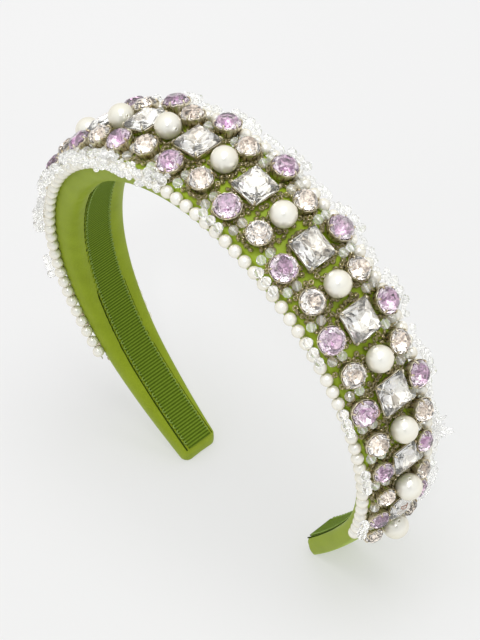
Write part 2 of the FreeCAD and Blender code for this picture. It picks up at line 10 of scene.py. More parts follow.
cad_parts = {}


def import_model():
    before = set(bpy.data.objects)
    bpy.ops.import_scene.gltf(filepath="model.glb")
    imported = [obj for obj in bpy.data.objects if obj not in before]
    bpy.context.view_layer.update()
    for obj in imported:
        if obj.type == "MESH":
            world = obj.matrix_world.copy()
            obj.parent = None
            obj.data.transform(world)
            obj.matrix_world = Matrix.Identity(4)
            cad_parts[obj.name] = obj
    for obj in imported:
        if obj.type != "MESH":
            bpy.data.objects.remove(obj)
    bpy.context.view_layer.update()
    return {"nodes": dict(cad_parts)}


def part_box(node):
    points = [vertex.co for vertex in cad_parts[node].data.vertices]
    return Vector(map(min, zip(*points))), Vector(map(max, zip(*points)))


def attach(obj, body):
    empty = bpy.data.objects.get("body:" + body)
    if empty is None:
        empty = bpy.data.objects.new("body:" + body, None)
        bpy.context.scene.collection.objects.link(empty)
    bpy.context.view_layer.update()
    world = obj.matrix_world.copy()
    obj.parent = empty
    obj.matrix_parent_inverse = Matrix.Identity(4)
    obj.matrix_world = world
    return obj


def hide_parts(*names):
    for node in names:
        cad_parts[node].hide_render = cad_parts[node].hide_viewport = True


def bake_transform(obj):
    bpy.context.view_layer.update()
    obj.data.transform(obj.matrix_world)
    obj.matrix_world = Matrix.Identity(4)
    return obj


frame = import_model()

MM = 0.001
chance = np.random.default_rng(11).uniform

# ---- the band's line, as in the frame

SEGMENTS = ("left_arm", "crown", "right_arm")
ARC_RADII = (72.8, 87.0, 164.0)
ARC_ANGLES = tuple(math.radians(a) for a in (105.0, 22.0, 11.7))
HALF_LENGTH = sum(r * a for r, a in zip(ARC_RADII, ARC_ANGLES))
HINGE_ANGLE = math.radians(41.6)
HINGE_AT = ARC_RADII[0] * HINGE_ANGLE
CROWN_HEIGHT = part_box("satin_cover_crown")[1].z / MM
CROWN_HALF_WIDTH, TIP_HALF_WIDTH, CROWN_DROP = 13.8, 6.6, 2.2
BAND_THICKNESS, INNER_FALL, THINNEST = 8.4, 3.0, 6.9
ROW_PITCH = 23.5
SQUARE_ROWS = [k * ROW_PITCH for k in range(-6, 7)]
PEARL_ROWS = [(k - 6.5) * ROW_PITCH for k in range(14)]
UP = np.array([0.0, 0.0, 1.0])
ACROSS = np.array([0.0, 1.0, 0.0])
# Lays a drilled bead down, so that its bore runs along the band.
SIDEWAYS = np.array([[0, 0, 1, 0], [1, 0, 0, 0], [0, 1, 0, 0], [0, 0, 0, 1.0]])


def arc_centres():
    """Centres (x, z) of the right side's three arcs, with the crown's top at the origin."""
    x, z = 0.0, -ARC_RADII[0]
    centres, turned = [(x, z)], 0.0
    for i in (1, 2):
        turned += ARC_ANGLES[i - 1]
        step = ARC_RADII[i - 1] - ARC_RADII[i]
        x, z = x + step * math.sin(turned), z + step * math.cos(turned)
        centres.append((x, z))
    return centres


ARC_CENTRES = arc_centres()


def frame_at(s):
    """Point on the outer satin line, tangent and outward normal at distance s from the crown."""
    side = 1.0 if s >= 0 else -1.0
    left, turned, i = abs(s), 0.0, 0
    while i < 2 and left > ARC_RADII[i] * ARC_ANGLES[i]:
        left -= ARC_RADII[i] * ARC_ANGLES[i]
        turned += ARC_ANGLES[i]
        i += 1
    turn = turned + left / ARC_RADII[i]
    normal = np.array([side * math.sin(turn), 0, math.cos(turn)])
    tangent = np.array([math.cos(turn), 0, -side * math.sin(turn)])
    centre = np.array([side * ARC_CENTRES[i][0], 0, ARC_CENTRES[i][1] + CROWN_HEIGHT])
    return centre + normal * ARC_RADII[i], tangent, normal


def half_width(s):
    share = min(1.0, abs(s) / HALF_LENGTH)
    return TIP_HALF_WIDTH + (CROWN_HALF_WIDTH - TIP_HALF_WIDTH) * (1 - share ** 2)


def edge_drop(s):
    return CROWN_DROP * half_width(s) / CROWN_HALF_WIDTH


def thickness(s):
    return max(THINNEST, BAND_THICKNESS + INNER_FALL * frame_at(s)[2][2])


def surface(s, y):
    """Height of the crowned satin at y, and how far it leans outwards there."""
    radius = (half_width(s) ** 2 + edge_drop(s) ** 2) / (2 * edge_drop(s))
    return math.sqrt(max(radius ** 2 - y ** 2, 0)) - radius, math.asin(max(-1, min(1, y / radius)))


def place(s, y, height):
    point, _, normal = frame_at(s)
    return point + normal * height + ACROSS * y


def standing(x, z, point, spin):
    """4 by 4 matrix at a point with its Z along z and its X spun round from x."""
    y = np.cross(z, x)
    c, d = math.cos(spin), math.sin(spin)
    m = np.eye(4)
    m[:3] = np.column_stack([x * c + y * d, y * c - x * d, z, point])
    return m


def seat(s, y, lift=0.0, spin=0.0):
    """Matrix of something standing on the satin: Z along the surface normal, X along the band."""
    point, tangent, normal = frame_at(s)
    height, tilt = surface(s, y)
    up = normal * math.cos(tilt) + ACROSS * math.sin(tilt)
    return standing(tangent, up, point + normal * height + ACROSS * y + up * lift, spin)


def aligned(point, heading, spin=0.0):
    """Matrix at a point whose Z runs along a heading."""
    z = heading / np.linalg.norm(heading)
    x = np.cross(ACROSS if abs(z[1]) < 0.9 else UP, z)
    return standing(x / np.linalg.norm(x), z, point, spin)


def segment_of(s):
    return "crown" if abs(s) <= HINGE_AT else ("right_arm" if s > 0 else "left_arm")


# ---- mesh helpers

class Shape:
    """Points and faces being put together, with a material number and a smooth flag for each face."""

    def __init__(self, points=(), faces=(), finish=0, smooth=True):
        self.points = np.array(points, float).reshape(-1, 3)
        self.faces = [tuple(f) for f in faces]
        self.finish = [finish] * len(self.faces)
        self.smooth = [smooth] * len(self.faces)

    def add(self, other):
        base = len(self.points)
        self.points = np.vstack([self.points, other.points])
        self.faces += [tuple(i + base for i in f) for f in other.faces]
        self.finish += other.finish
        self.smooth += other.smooth
        return self


def spread(shape, matrices):
    """One shape copied to every matrix."""
    count = len(shape.points)
    whole = Shape(np.vstack([shape.points @ m[:3, :3].T + m[:3, 3] for m in matrices]))
    for i in range(len(matrices)):
        whole.faces += [tuple(v + i * count for v in f) for f in shape.faces]
    whole.finish = shape.finish * len(matrices)
    whole.smooth = shape.smooth * len(matrices)
    return whole


def add_object(name, data):
    thing = bpy.data.objects.new(name, data)
    bpy.context.scene.collection.objects.link(thing)
    return thing


def make_object(name, shape, materials, places=None):
    """Mesh object from a shape; places are the points' places on the cloth."""
    mesh = bpy.data.meshes.new(name)
    mesh.from_pydata((shape.points * MM).tolist(), [], shape.faces)
    mesh.polygons.foreach_set("material_index", shape.finish)
    mesh.polygons.foreach_set("use_smooth", shape.smooth)
    for material in materials:
        mesh.materials.append(material)
    if places is not None:
        attribute = mesh.attributes.new("cloth_place", "FLOAT_VECTOR", "POINT")
        attribute.data.foreach_set("vector", np.asarray(places, np.float32).ravel())
    mesh.update()
    return add_object(name, mesh)


def grid_faces(rows, columns):
    """Four-sided faces between rings of points that follow one another."""
    faces = []
    for i in range(rows - 1):
        for j in range(columns):
            k = (j + 1) % columns
            below, above = i * columns, (i + 1) * columns
            faces.append((below + j, below + k, above + k, above + j))
    return faces


def tube(line, radii, sides=8, closed=False, finish=0):
    """Round tube through points, with a radius at each point and rounded ends."""
    line = np.array(line, float)
    count = len(line)
    if np.isscalar(radii):
        radii = [radii] * count
    points = []
    last_side = None
    for i in range(count):
        ahead = line[(i + 1) % count] if closed or i < count - 1 else line[i]
        behind = line[i - 1] if closed or i > 0 else line[i]
        heading = (ahead - behind) / (np.linalg.norm(ahead - behind) + 1e-12)
        guess = last_side if last_side is not None else (UP if abs(heading[2]) < 0.9 else ACROSS)
        side = guess - heading * (guess @ heading)
        side /= np.linalg.norm(side)
        last_side = side
        other = np.cross(heading, side)
        for k in range(sides):
            a = 2 * math.pi * k / sides
            points.append(line[i] + radii[i] * (side * math.cos(a) + other * math.sin(a)))
    if closed:
        faces = [tuple(i % len(points) for i in f) for f in grid_faces(count + 1, sides)]
        return Shape(points, faces, finish)
    faces = grid_faces(count, sides)
    for i, step in ((0, line[0] - line[1]), (count - 1, line[-1] - line[-2])):
        for k in range(sides):
            a, b = i * sides + k, i * sides + (k + 1) % sides
            faces.append((a, b, len(points)) if i else (b, a, len(points)))
        points.append(line[i] + step / np.linalg.norm(step) * radii[i] * 0.6)
    return Shape(points, faces, finish)


def turned(profile, sides, closed=False, wobble=None):
    """Surface turned about Z from (radius, height) pairs; a closed profile makes a ring."""
    points, faces = [], []
    rows = len(profile)
    for k in range(sides):
        a = 2 * math.pi * k / sides
        for j, (r, z) in enumerate(profile):
            extra = wobble(j, a) if wobble else 0.0
            points.append((r * math.cos(a), r * math.sin(a), z + extra))
        n = (k + 1) % sides
        for j in range(rows if closed else rows - 1):
            i = (j + 1) % rows
            faces.append((k * rows + j, n * rows + j, n * rows + i, k * rows + i))
    return Shape(points, faces)


def ball(radius, sides, rows, bore):
    """Ball about the origin, with a bore along Z."""
    start = math.asin(bore / radius)
    angles = [start + (math.pi - 2 * start) * i / rows for i in range(rows + 1)]
    profile = [(radius * math.sin(a), -radius * math.cos(a)) for a in angles]
    lip = profile[-1][1]
    profile += [(bore * 0.8, lip * 0.93), (bore * 0.8, -lip * 0.93)]
    return turned(profile, sides, closed=True)


def faceted(shape):
    shape.smooth = [False] * len(shape.faces)
    return shape


def hull(points, finish=0):
    """Flat-faced convex stone round a set of points."""
    bm = bmesh.new()
    for p in points:
        bm.verts.new(p)
    bmesh.ops.convex_hull(bm, input=bm.verts)
    loose = [v for v in bm.verts if not v.link_faces]
    bmesh.ops.delete(bm, geom=loose, context="VERTS")
    bmesh.ops.dissolve_limit(bm, angle_limit=math.radians(1), verts=bm.verts, edges=bm.edges)
    bmesh.ops.recalc_face_normals(bm, faces=bm.faces)
    bm.verts.index_update()
    corners = [v.co[:] for v in bm.verts]
    faces = [[v.index for v in f.verts] for f in bm.faces]
    bm.free()
    return Shape(corners, faces, finish, smooth=False)


# ---- materials

def new_material(name):
    material = bpy.data.materials.new(name)
    material.use_nodes = True
    tree = material.node_tree
    return material, tree, tree.nodes["Principled BSDF"]


def node(tree, kind, **values):
    made = tree.nodes.new("ShaderNode" + kind)
    for key, value in values.items():
        if key in made.inputs:
            made.inputs[key].default_value = value
        else:
            setattr(made, key, value)
    return made


def link(tree, value, target):
    """Links an output to an input, or sets the input to a plain value."""
    if isinstance(value, bpy.types.NodeSocket):
        tree.links.new(value, target)
    else:
        target.default_value = value


def wired(tree, kind, *inputs, output=0, **values):
    """One output of a new node whose first inputs are linked or set in order."""
    made = node(tree, kind, **values)
    for value, target in zip(inputs, made.inputs):
        link(tree, value, target)
    return made.outputs[output]


def maths(tree, operation, *values):
    return wired(tree, "Math", *values, operation=operation)


def noise(tree, vector, scale, detail=2.0):
    return wired(tree, "TexNoise", vector, Scale=scale, Detail=detail)


def ramp(tree, value, stops, interpolation="LINEAR"):
    made = node(tree, "ValToRGB")
    made.color_ramp.interpolation = interpolation
    elements = made.color_ramp.elements
    while len(elements) < len(stops):
        elements.new(0.5)
    for element, (at, colour) in zip(elements, stops):
        element.position, element.color = at, (*colour, 1)
    link(tree, value, made.inputs[0])
    return made.outputs[0]


def mixed(tree, factor, first, second, blend_type="MIX"):
    """Two colours mixed by a factor; each of the three is an output or a plain value."""
    made = node(tree, "Mix", data_type="RGBA", blend_type=blend_type)
    for value, key in ((factor, "Factor"), (first, "A"), (second, "B")):
        link(tree, value, made.inputs[key])
    return made.outputs["Result"]


def on_object(tree):
    return node(tree, "TexCoord").outputs["Object"]


def set_inputs(tree, shader, **values):
    """Links or sets the shader's inputs; an underscore in a name stands for a space."""
    for key, value in values.items():
        link(tree, value, shader.inputs[key.replace("_", " ")])


def bump(tree, shader, height, strength, distance):
    made = node(tree, "Bump", Strength=strength, Distance=distance * MM)
    link(tree, height, made.inputs["Height"])
    link(tree, made.outputs[0], shader.inputs["Normal"])


def apart(tree, vector):
    """The three numbers of a vector."""
    made = node(tree, "SeparateXYZ")
    link(tree, vector, made.inputs[0])
    return made.outputs


def cloth_parts(tree):
    """Place on the cloth in millimetres, as a vector; how far along it; and 1 where it is the outer face."""
    vector = node(tree, "Attribute", attribute_name="cloth_place").outputs["Vector"]
    along, _, outer = apart(tree, vector)
    return vector, along, outer


def srgb(r, g, b):
    """Linear colour from 0-255 screen values."""
    shares = (r / 255, g / 255, b / 255)
    return tuple(c / 12.92 if c <= 0.04045 else ((c + 0.055) / 1.055) ** 2.4 for c in shares)


def satin_material():
    """Satin with fine floats along the band; the outer face, between the stones, is painted lighter: painted
    light making up for the stones' shade.
    """
    material, tree, shader = new_material("satin")
    vector, _, outer = cloth_parts(tree)
    floats = noise(tree, wired(tree, "Mapping", vector, Scale=(1.2, 9.0, 1.0)), 1.0, 3.0)
    clouds = noise(tree, vector, 0.12)
    shade = maths(tree, "MULTIPLY_ADD", floats, 0.65, maths(tree, "MULTIPLY", clouds, 0.35))
    inner_greens = (srgb(127, 144, 12), srgb(142, 160, 22), srgb(156, 174, 36))
    painted_light_greens = (srgb(142, 162, 30), srgb(158, 182, 44), srgb(172, 198, 60))
    # The outer face's lighter greens are painted light, making up for the shade the stones cast between them.
    inner, outside = (ramp(tree, shade, list(zip((0.3, 0.5, 0.7), greens)))
                      for greens in (inner_greens, painted_light_greens))
    set_inputs(tree, shader, Base_Color=mixed(tree, outer, inner, outside),
               Roughness=maths(tree, "MULTIPLY_ADD", floats, 0.2, 0.4), Anisotropic=0.4,
               Sheen_Weight=0.18, Sheen_Roughness=0.4, Sheen_Tint=(*srgb(200, 218, 120), 1),
               Specular_IOR_Level=0.28)
    slanted = wired(tree, "Mapping", vector, Rotation=(0, 0, math.radians(38)))
    twill = wired(tree, "TexWave", slanted, Scale=0.9, Distortion=0.3, Detail=1.0, output="Fac")
    bump(tree, shader, maths(tree, "MULTIPLY_ADD", twill, 0.3, floats), 0.22, 0.06)
    return material


def grosgrain_material():
    """Ribbed ribbon with painted shade between the ribs and painted light on their ridges, and threads
    running along it.
    """
    material, tree, shader = new_material("grosgrain")
    vector, along, _ = cloth_parts(tree)
    phase = maths(tree, "FRACT", maths(tree, "DIVIDE", along, RIB_PITCH))
    # Rib colours follow the ribs' geometry: painted shade in the grooves, painted light on the ridges.
    shaded_groove, flank, ridge = srgb(70, 90, 6), srgb(94, 118, 20), srgb(126, 152, 44)
    ribs = ramp(tree, phase, [(0.0, shaded_groove), (0.22, flank), (0.5, ridge), (0.78, flank), (1.0, shaded_groove)])
    threads = noise(tree, wired(tree, "Mapping", vector, Scale=(0.6, 7.0, 1.0)), 1.0)
    shading = ramp(tree, threads, [(0.3, (0.5, 0.5, 0.5)), (0.7, (1.25, 1.25, 1.25))])
    set_inputs(tree, shader, Base_Color=mixed(tree, 0.5, ribs, shading, "MULTIPLY"), Roughness=0.7,
               Specular_IOR_Level=0.12)
    bump(tree, shader, threads, 0.35, 0.08)
    return material


def grained_material(name, scale, low, high, relief, texture="TexNoise", **values):
    """Material whose colour and surface follow one fine grain, from low to high (place, colour)."""
    material, tree, shader = new_material(name)
    grain = wired(tree, texture, on_object(tree), Scale=scale)
    set_inputs(tree, shader, Base_Color=ramp(tree, grain, [low, high]), **values)
    bump(tree, shader, grain, *relief)
    return material


def picot_material():
    """Yarn of the ribbon's edge loops, a little lighter than the ribs."""
    return grained_material("picot_yarn", 2500.0, (0.3, srgb(112, 138, 40)), (0.7, srgb(148, 176, 74)),
                            (0.3, 0.05), Roughness=0.6)


def thread_material(name, colour):
    """Twisted thread with painted shade in its hollows: darker where its grain is low."""
    # dark is painted shade in the thread's hollows.
    dark = tuple(c * 0.7 for c in colour)
    return grained_material(name, 3000.0, (0.3, dark), (0.7, colour), (0.4, 0.05), Roughness=0.8,
                            Specular_IOR_Level=0.1)


def foam_material():
    """Open-cell foam."""
    return grained_material("foam", 1300.0, (0.1, srgb(214, 210, 196)), (0.6, srgb(240, 238, 228)),
                            (0.6, 0.3), "TexVoronoi", Roughness=0.95)


def core_material():
    """Moulded plastic of the sprung core."""
    return grained_material("core_plastic", 900.0, (0.3, srgb(222, 221, 214)), (0.7, srgb(236, 235, 230)),
                            (0.1, 0.05), Roughness=0.42)


def pearl_material(name, body, blush):
    """Ivory pearl: soft lustre, a faint blush that shifts over the surface and a warmer, darker rim that is
    painted shade towards its outline.
    """
    material, tree, shader = new_material(name)
    shift = ramp(tree, noise(tree, on_object(tree), 160.0), [(0.35, body), (0.65, blush)])
    facing = node(tree, "LayerWeight", Blend=0.35).outputs["Facing"]
    # The rim colour, mixed in by facing, is painted shade towards the pearl's outline.
    colour = mixed(tree, facing, shift, (*srgb(238, 228, 196), 1))
    set_inputs(tree, shader, Base_Color=colour, Metallic=0.3, Roughness=0.22, Coat_Weight=0.8,
               Coat_Roughness=0.07)
    bump(tree, shader, noise(tree, on_object(tree), 1400.0), 0.04, 0.03)
    return material


def facet_chance(tree, spin):
    """A number from 0 to 1 that is the same all over a flat facet and different on the next one."""
    normal = node(tree, "NewGeometry").outputs["True Normal"]
    along = wired(tree, "VectorMath", normal, spin, operation="DOT_PRODUCT", output="Value")
    return maths(tree, "FRACT", along)


def crystal_material(name, tint, shaded_facet, lit_facet):
    """Cut glass whose facets are painted a little darker or paler at random, as painted shade and painted
    light on the facets, with fine polishing marks.
    """
    material, tree, shader = new_material(name)
    facet_shading = facet_chance(tree, (3.1, 5.3, 4.7))
    set_inputs(tree, shader, Base_Color=ramp(tree, facet_shading, [(0.1, shaded_facet), (0.45, tint), (0.8, lit_facet)]),
               Roughness=maths(tree, "MULTIPLY", noise(tree, on_object(tree), 300.0), 0.03),
               Transmission_Weight=0.93, IOR=1.6)
    return material


def foil_material(name, bright, dark):
    """Silvered back of a stone, painted darker on some facets and in patches, as painted shade for the dark
    reflections of cut stones.
    """
    material, tree, shader = new_material(name)
    facets = maths(tree, "MULTIPLY", facet_chance(tree, (4.3, 2.9, 6.1)), 0.45)
    painted_dark_patches = maths(tree, "MULTIPLY_ADD", noise(tree, on_object(tree), 420.0, 1.0), 0.55, facets)
    set_inputs(tree, shader, Base_Color=ramp(tree, painted_dark_patches, [(0.34, dark), (0.5, bright)]), Metallic=1.0,
               Roughness=0.12)
    return material


def metal_material(name, low, high, dark):
    """Plated metal with worn bright places and darker, dulled ones."""
    material, tree, shader = new_material(name)
    wear = noise(tree, on_object(tree), 380.0, 4.0)
    set_inputs(tree, shader, Base_Color=ramp(tree, wear, [(0.32, dark), (0.48, low), (0.66, high)]),
               Roughness=maths(tree, "MULTIPLY_ADD", wear, 0.3, 0.14), Metallic=0.9)
    bump(tree, shader, wear, 0.2, 0.08)
    return material


def bead_glass_material(name, tint, roughness, clearness, silvering, glint):
    """Bead glass: how clear it is, how much silver lining shows, and its glint, a painted glow of emission
    that makes the glass look brighter.
    """
    material, tree, shader = new_material(name)
    soft = tuple(c * 0.9 for c in tint)
    colour = ramp(tree, noise(tree, on_object(tree), 220.0), [(0.35, soft), (0.65, tint)])
    # The emission is painted glow: the beads give off light though they are no lamp.
    set_inputs(tree, shader, Base_Color=colour, Emission_Color=(1, 1, 1, 1), Emission_Strength=glint,
               Transmission_Weight=clearness, Metallic=silvering, IOR=1.5, Roughness=roughness)
    return material


# ---- layers of the band

RIB_PITCH = 1.12
ROUND_TIP, CORNER = 2.4, 1.7
TOE_LENGTH, TOE_REACH = 9.0, 2.6
TIP_FLATNESS, WALL_BULGE, OUTER_FACE_BELOW = 0.15, 0.35, 0.6


def outline(s, inset=0.0, raised=0.0):
    """Points round the band's section at s as (y, height), from the middle of the inner face: the flat
    inner face, a rounded corner, the wall and the crowned outer face. All of it narrows at the very tip."""
    past = max(0.0, abs(s) - (HALF_LENGTH - ROUND_TIP))
    share = math.sqrt(max(0.0, 1 - (past / ROUND_TIP) ** 2))
    wide = half_width(s) - inset - ROUND_TIP * (1 - share)
    waist = -thickness(s) * 0.35
    floor = raised - thickness(s)
    shoulder = -edge_drop(s) - inset * 0.5
    right = [(wide * t - CORNER * t, floor) for t in np.linspace(0, 1, 9)]
    for a in np.linspace(0, math.pi / 2, 5)[1:-1]:
        right.append((wide - CORNER + CORNER * math.sin(a), floor + CORNER * (1 - math.cos(a))))
    for t in np.linspace(0, 1, 7)[:-1]:
        bulge = WALL_BULGE * math.sin(math.pi * t)
        right.append((wide + bulge, floor + CORNER + (shoulder - floor - CORNER) * t))
    radius = (wide ** 2 + shoulder ** 2) / (2 * abs(shoulder))
    top = math.asin(min(1.0, wide / radius))
    for a in np.linspace(top, 0, 15):
        height = radius * math.cos(a) - radius - inset * 0.5 * (1 - a / top)
        right.append((radius * math.sin(a), height))
    points = right + [(-y, h) for y, h in reversed(right[1:-1])]
    squeeze = TIP_FLATNESS + (1 - TIP_FLATNESS) * share
    return [(y, waist + (h - waist) * squeeze) for y, h in points]


def band_rings(step, end):
    """Distances of the rings along the whole band, closer together at the rounded tips."""
    straight_end = HALF_LENGTH - end - ROUND_TIP
    count = int(round(straight_end / step))
    half = [straight_end * i / count for i in range(count + 1)]
    half += [straight_end + ROUND_TIP * math.sin(a) for a in np.linspace(0, math.pi / 2, 7)[1:]]
    return [-s for s in reversed(half[1:])] + half


def toe(s, h):
    """How far the outer side of the band reaches past its end at the soft tips."""
    near_end = max(0.0, 1 - (HALF_LENGTH - abs(s)) / TOE_LENGTH)
    return math.copysign(TOE_REACH * near_end ** 1.5 * max(0.0, 1 + h / thickness(s)), s)


def band_surface(step, inset=0.0, raised=0.0, end=0.0):
    """Grid of points over a closed layer of the band, and each point's place on the cloth."""
    distances = band_rings(step, end)
    points, places = [], []
    for s in distances:
        ring = outline(s, inset, raised)
        around = 0.0
        for j, (y, h) in enumerate(ring):
            if j:
                around += math.dist(ring[j - 1], (y, h))
            points.append(place(s + toe(s, h), y, h))
            # The third number is 1 on the outer face, where the satin's colour is painted lighter as painted
            # light.
            places.append((s, around, 1.0 if h > -edge_drop(s) - OUTER_FACE_BELOW else 0.0))
    return distances, len(outline(0.0)), np.array(points), np.array(places)


CLOTH_SCALE, CLOTH_PRESSURE, CLOTH_FRAMES, MOST_SWELL = 0.01, 4.0, 20, 1.1
HELD_HALF_WIDTH, HELD_TIP, STITCH_SHARE = 5.6, 5.0, 0.2
EDGE_PITCH, EDGE_RADIUS, EDGE_MARGIN = 4.25, 1.95, 0.4


def held_points(distances, columns):
    """Points of the sleeve that are sewn or glued down: under the ribbon, the stones, each stitch of the
    edge pearls' thread, and the tips."""
    held = []
    feet = footprints()
    for row, s in enumerate(distances):
        near = [(a, b, r) for a, b, r in feet if abs(a - s) < r]
        at_stitch = abs((s / EDGE_PITCH) % 1 - 0.5) < STITCH_SHARE
        for column, (y, h) in enumerate(outline(s)):
            under_ribbon = h < -thickness(s) * 0.5 and abs(y) < HELD_HALF_WIDTH
            shoulder = abs(y) > half_width(s) - EDGE_MARGIN and abs(h + edge_drop(s)) < 0.5
            near_stone = any((s - a) ** 2 + (y - b) ** 2 < r ** 2 for a, b, r in near)
            under_stone = near_stone and h > -edge_drop(s) - 0.1
            at_tip = abs(s) > HALF_LENGTH - HELD_TIP
            if under_ribbon or under_stone or (shoulder and at_stitch) or at_tip:
                held.append(row * columns + column)
    return held


def padded(points, faces, held):
    """The sleeve swollen by its padding between the places where it is held: a short cloth simulation."""
    mesh = bpy.data.meshes.new("sleeve_cloth")
    mesh.from_pydata((points * CLOTH_SCALE).tolist(), [], faces)
    thing = add_object("sleeve_cloth", mesh)
    thing.vertex_groups.new(name="held").add(held, 1.0, "REPLACE")
    cloth = thing.modifiers.new("cloth", "CLOTH")
    settings = cloth.settings
    settings.quality, settings.mass = 6, 0.2
    settings.tension_stiffness = settings.compression_stiffness = 12
    settings.shear_stiffness, settings.bending_stiffness = 6, 0.2
    settings.vertex_group_mass = "held"
    settings.use_pressure, settings.uniform_pressure_force = True, CLOTH_PRESSURE
    settings.effector_weights.gravity = 0
    cloth.collision_settings.use_collision = False
    scene = bpy.context.scene
    for moment in range(1, CLOTH_FRAMES + 1):
        scene.frame_set(moment)
    evaluated = thing.evaluated_get(bpy.context.evaluated_depsgraph_get())
    swollen = np.empty(len(points) * 3)
    evaluated.data.vertices.foreach_get("co", swollen)
    bpy.data.objects.remove(thing)
    bpy.data.meshes.remove(mesh)
    scene.frame_set(1)
    moved = swollen.reshape(-1, 3) / CLOTH_SCALE - points
    far = np.linalg.norm(moved, axis=1, keepdims=True)
    return points + moved * np.minimum(1.0, MOST_SWELL / np.maximum(far, 1e-9))


FOAM_FLOOR = 0.6


def add_half(name, side, shape, materials, places=None):
    """One side's half of a layer. It stands for the crown's and the arm's nodes, and runs across the hinge
    between them."""
    side_name = "right" if side > 0 else "left"
    thing = make_object(f"{name}_{side_name}", shape, materials, places)
    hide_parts(f"{name}_{side_name}_arm", f"{name}_crown")
    point, tangent, _ = frame_at(side * HINGE_AT)
    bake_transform(thing)


def closed_layer(name, grid, material, lowest):
    """A layer as two halves from the crown to a closed tip, none of it below a given height."""
    distances, columns, points, places = grid
    points[:, 2] = np.maximum(points[:, 2], lowest)
    middle = len(distances) // 2 * columns
    for side in (-1, 1):
        rows = slice(middle, None) if side > 0 else slice(0, middle + columns)
        own, own_places = points[rows], places[rows]
        tip = len(own) - columns if side > 0 else 0
        faces = grid_faces(len(own) // columns, columns)
        for j in range(columns):
            a, b = tip + j, tip + (j + 1) % columns
            faces.append((a, b, len(own)) if side > 0 else (b, a, len(own)))
        shape = Shape(np.vstack([own, own[tip:tip + columns].mean(axis=0)]), faces)
        add_half(name, side, shape, [material], np.vstack([own_places, own_places[tip]]))


def satin_cover(material):
    distances, columns, points, places = band_surface(1.4)
    points = padded(points, grid_faces(len(distances), columns), held_points(distances, columns))
    closed_layer("satin_cover", (distances, columns, points, places), material, 0.0)


def foam_pad(material):
    grid = band_surface(3.0, inset=0.7, raised=2.2, end=1.8)
    closed_layer("foam_pad", grid, material, FOAM_FLOOR)


def inner_place(s, y, out):
    """Point a distance out from the inner face, towards the wearer."""
    return place(s, y, -thickness(s) - out)


RIBBON_HALF_WIDTH, RIBBON_END = 4.75, HALF_LENGTH - 1.6
RIB_RISE, RIB_SAMPLES = 0.34, 6
RIBBON_COLUMNS = (-1.0, -0.97, -0.8, -0.4, 0.0, 0.4, 0.8, 0.97, 1.0)
PICOT_PITCH, PICOT_YARN = 2 * RIB_PITCH, 0.24
PICOT_LOOP = ((-0.55, -0.35, 0.3), (-0.5, 0.2, 0.42), (0.0, 0.5, 0.46), (0.5, 0.2, 0.42), (0.55, -0.35, 0.3))
PICOT_TUCK = 0.3
# Dark seam cords as (edge, radius, how far out): seam threads that also paint the shadow of the raised
# ribbon, heavier on the -Y edge.
SHADOW_SEAMS = ((-1, 0.26, 0.95), (1, 0.1, 0.75))
SEAM_STEPS = 130


def ribbon_cloth(side):
    """One side's grosgrain with raised ribs and closed ends, and each point's place on the cloth."""
    rows = int(RIBBON_END / RIB_PITCH * RIB_SAMPLES)
    points, places = [], []
    for i in range(rows + 1):
        s = side * RIBBON_END * i / rows
        ridge = abs(math.sin(math.pi * s / RIB_PITCH)) ** 0.6
        for t in RIBBON_COLUMNS:
            thin = 0.25 if abs(t) > 0.99 else 0.0
            out = 0.08 + RIB_RISE * (0.45 + 0.55 * ridge) * (1 - thin)
            points.append(inner_place(s, RIBBON_HALF_WIDTH * t, out))
            places.append((s, RIBBON_HALF_WIDTH * t, 0.0))
        for t in (1.0, -1.0):
            points.append(inner_place(s, RIBBON_HALF_WIDTH * t, 0.0))
            places.append((s, RIBBON_HALF_WIDTH * t, 0.0))
    columns = len(RIBBON_COLUMNS) + 2
    first = tuple(range(columns))
    last = tuple(rows * columns + j for j in range(columns))
    faces = grid_faces(rows + 1, columns)
    if side > 0:
        faces, first, last = [f[::-1] for f in faces], first[::-1], last[::-1]
    shape = Shape(points, faces + [last, first])
    shape.smooth[-2:] = [False, False]
    return shape, places


def ribbon_edges(side):
    """A picot loop over every second rib at each edge, and the two seams' threads, drawn dark to paint the
    shadow along the ribbon's edges.
    """
    made = Shape()
    for k in range(int(RIBBON_END / PICOT_PITCH)):
        s = side * (k + 0.5) * PICOT_PITCH
        for edge, tuck in ((-1, 0.0), (1, PICOT_TUCK)):
            line = [inner_place(s + a, edge * (RIBBON_HALF_WIDTH + b - tuck), c) for a, b, c in PICOT_LOOP]
            made.add(tube(line, PICOT_YARN, sides=6, finish=1))
    for edge, radius, out in SHADOW_SEAMS:
        y = edge * (RIBBON_HALF_WIDTH + out)
        distances = [side * RIBBON_END * i / SEAM_STEPS for i in range(SEAM_STEPS + 1)]
        made.add(tube([inner_place(s, y, 0.0) for s in distances], radius, sides=6, finish=2))
    return made


def ribbon_lining(cloth, yarn, shadow_seam_thread):
    for side in (-1, 1):
        shape, places = ribbon_cloth(side)
        edges = ribbon_edges(side)
        shape.add(edges)
        places += [(0.0, 0.0, 0.0)] * len(edges.points)
        add_half("ribbon_lining", side, shape, [cloth, yarn, shadow_seam_thread], places)


# ---- stones and settings

SQUARE_SIDE, SQUARE_CORNER, SQUARE_TABLE = 10.2, 0.6, 5.0
STONE_BOTTOM, STONE_TOP = 1.0, 5.4


def clipped_square(half, corner, z):
    a, b = half, half - corner
    return [(a, b, z), (b, a, z), (-b, a, z), (-a, b, z), (-a, -b, z), (-b, -a, z), (b, -a, z), (a, -b, z)]


def circle(radius, count, z, turn=0.0):
    step = 2 * math.pi / count
    return [(radius * math.cos(i * step + turn), radius * math.sin(i * step + turn), z) for i in range(count)]


